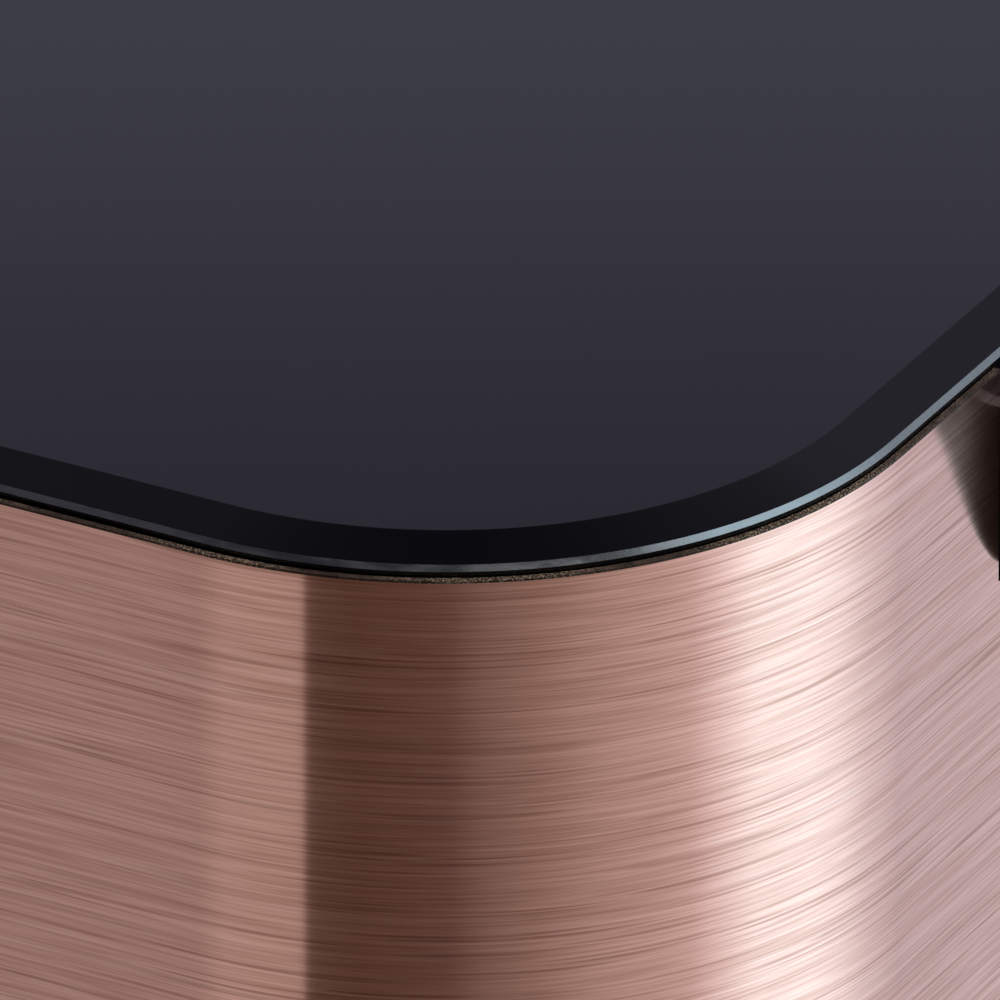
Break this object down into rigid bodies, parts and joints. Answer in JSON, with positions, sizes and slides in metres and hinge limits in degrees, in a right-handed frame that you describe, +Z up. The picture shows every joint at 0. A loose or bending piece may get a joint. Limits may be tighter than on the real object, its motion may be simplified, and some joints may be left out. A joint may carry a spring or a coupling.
{
  "type": "milk frother",
  "caption": "Rounded-square brushed rose-gold electric milk frother with a bevelled black glass lid, a black handle and a cordless power base.",
  "frame": {"origin": "the jug's vertical axis, which the motor and the whisk turn about, at the table top under the feet", "axes": "+Z up; -Y the front, with the push button; +X the spout side and -X the handle side"},
  "size_m": [0.17, 0.1234, 0.186],
  "materials": {
    "rose_sheet": "rose-gold coated stainless sheet, brushed round the body",
    "black_glass": "opaque black glass, polished, with a ground edge",
    "black_shell": "fine-grained black moulding",
    "black_satin": "satin black moulding",
    "foot_rubber": "matte black rubber",
    "grey_silicone": "soft grey silicone",
    "screw_steel": "zinc-plated steel",
    "pot_steel": "satin stainless steel",
    "pin_chrome": "polished",
    "heater_aluminium": "plain die-cast aluminium",
    "contact_brass": "plain brass",
    "coil_copper": "enamelled copper wire",
    "grey_nylon": "natural grey nylon",
    "green_board": "green laminate",
    "magnet_ferrite": "dark ferrite",
    "magnet_nickel": "nickel-plated magnet",
    "light_diffuser": "frosted white diffuser"
  },
  "bodies": {
    "base": {"base_shell": "black_shell", "base_band": "rose_sheet", "base_plate": "black_shell", "base_feet": "foot_rubber", "base_screws": "screw_steel", "base_connector": "black_shell", "contact_pin": "contact_brass", "contact_rings": "contact_brass", "cord_gland": "foot_rubber"},
    "jug": {"outer_sleeve": "rose_sheet", "bottom_cover": "black_shell", "rim_collar": "black_satin", "pour_spout": "black_satin", "handle_loop": "black_satin", "handle_inlay": "rose_sheet", "jug_screws": "screw_steel", "inner_pot": "pot_steel", "pot_gasket": "grey_silicone", "level_marks": "pot_steel", "heater_plate": "heater_aluminium", "heater_element": "pot_steel", "whisk_pin": "pin_chrome", "thermal_cutout": "black_shell", "ntc_sensor": "screw_steel", "chassis": "grey_nylon", "control_board": "green_board", "tact_switch": "black_shell", "board_parts": "black_shell", "power_board": "green_board", "power_parts": "black_shell", "socket_connector": "black_shell", "socket_contacts": "contact_brass", "motor_can": "screw_steel", "motor_end_cap": "grey_nylon", "motor_terminals": "contact_brass", "field_magnets": "magnet_ferrite", "motor_bushes": "contact_brass", "button_bezel": "pin_chrome", "light_ring": "light_diffuser"},
    "button": {"button_cap": "black_satin", "switch_plunger": "grey_nylon"},
    "rotor": {"armature": "screw_steel", "windings": "coil_copper", "commutator": "coil_copper", "motor_shaft": "screw_steel", "magnet_carrier": "grey_nylon", "drive_magnets": "magnet_nickel"},
    "whisk_base": {"whisk_hub": "black_satin", "whisk_magnets": "magnet_nickel"},
    "frother": {"whisk_stem": "black_satin", "whisk_ring": "pin_chrome", "whisk_coil": "pin_chrome"},
    "lid": {"lid_glass": "black_glass", "lid_frame": "black_satin", "lid_plug": "black_satin", "lid_seal": "grey_silicone", "plug_cover": "black_satin", "whisk_clip": "black_satin"},
    "spare_disc": {"stirring_disc": "black_satin"}
  },
  "joints": [
    {"name": "jug_lift", "type": "slide", "parent": "base", "child": "jug", "axis": [0, 0, 1], "range_m": [0, 0.06]},
    {"name": "lid_lift", "type": "slide", "parent": "jug", "child": "lid", "axis": [0, 0, 1], "range_m": [0, 0.06]},
    {"name": "disc_pull", "type": "slide", "parent": "lid", "child": "spare_disc", "axis": [0, 0, -1], "range_m": [0, 0.014]},
    {"name": "button_press", "type": "slide", "parent": "jug", "child": "button", "axis": [0, 1, 0], "range_m": [0, 0.0008], "stiffness_N_per_m": 1500},
    {"name": "motor_spin", "type": "hinge", "parent": "jug", "child": "rotor", "pos_m": [0, 0, 0.0585], "axis": [0, 0, 1], "continuous": true},
    {"name": "whisk_spin", "type": "hinge", "parent": "jug", "child": "whisk_base", "pos_m": [0, 0, 0.0867], "axis": [0, 0, 1], "continuous": true},
    {"name": "whisk_lift", "type": "slide", "parent": "whisk_base", "child": "frother", "axis": [0, 0, 1], "range_m": [0, 0.03]}
  ],
  "couplings": [
    {"joint": "whisk_spin", "follows": "motor_spin", "ratio": 1}
  ]
}
